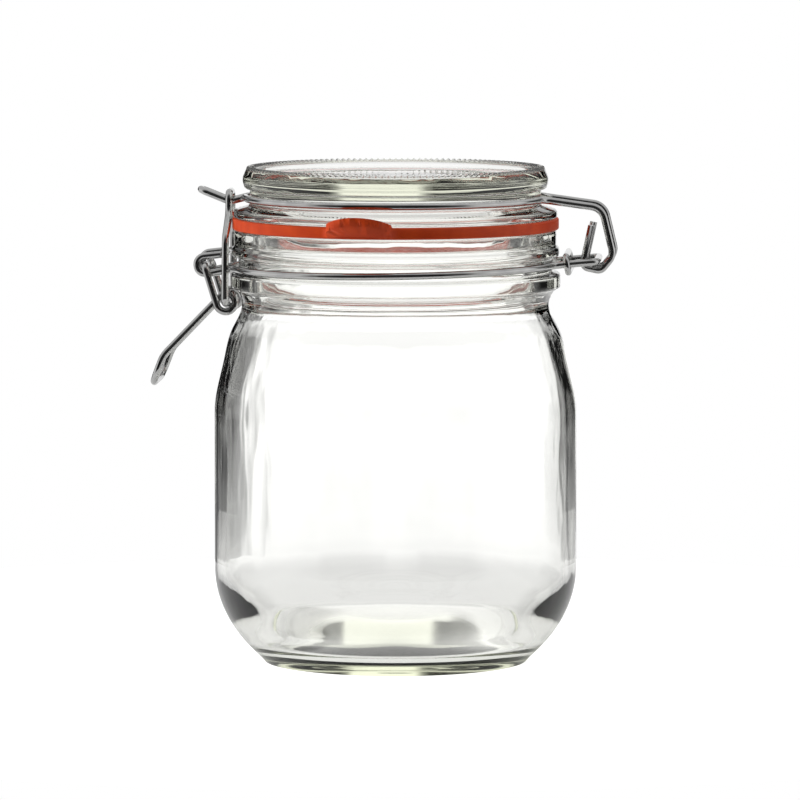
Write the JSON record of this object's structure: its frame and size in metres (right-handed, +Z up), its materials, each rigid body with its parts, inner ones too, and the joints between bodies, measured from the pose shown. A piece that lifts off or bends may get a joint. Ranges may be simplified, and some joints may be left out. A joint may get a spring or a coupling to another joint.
{
  "type": "clip-top jar",
  "caption": "Round glass preserving jar with a glass lid, a rubber gasket and a wire hinge and lever clasp.",
  "frame": {"origin": "centre of the jar's foot, on the jar's axis, on the surface it stands on", "axes": "+Z up along the jar's axis, +X towards the hinge, -X towards the clasp"},
  "size_m": [0.1356, 0.1073, 0.145],
  "materials": {
    "jar_glass": "clear pressed glass, smooth",
    "lid_glass": "clear pressed glass, smooth",
    "gasket_rubber": "orange-red natural rubber, satin",
    "wire": "bright drawn steel"
  },
  "bodies": {
    "jar": {"jar": "jar_glass", "neck_wire": "wire", "closing_link": "wire"},
    "lid": {"lid": "lid_glass", "lid_wire": "wire", "gasket": "gasket_rubber"},
    "lever": {"lever": "wire"},
    "bail": {"bail": "wire"}
  },
  "joints": [
    {"name": "lid_hinge", "type": "hinge", "parent": "jar", "child": "lid", "pos_m": [0.0591, 0, 0.118], "axis": [0, 1, 0], "range_deg": [0, 200]},
    {"name": "lever_pivot", "type": "hinge", "parent": "jar", "child": "lever", "pos_m": [-0.055, 0, 0.1163], "axis": [0, 1, 0], "range_deg": [0, 140]},
    {"name": "bail_pivot", "type": "hinge", "parent": "lever", "child": "bail", "pos_m": [-0.0489, 0, 0.1056], "axis": [0, 1, 0], "range_deg": [-322, 0]}
  ],
  "couplings": [
    {"joint": "bail_pivot", "follows": "lever_pivot", "ratio": -2.3}
  ]
}
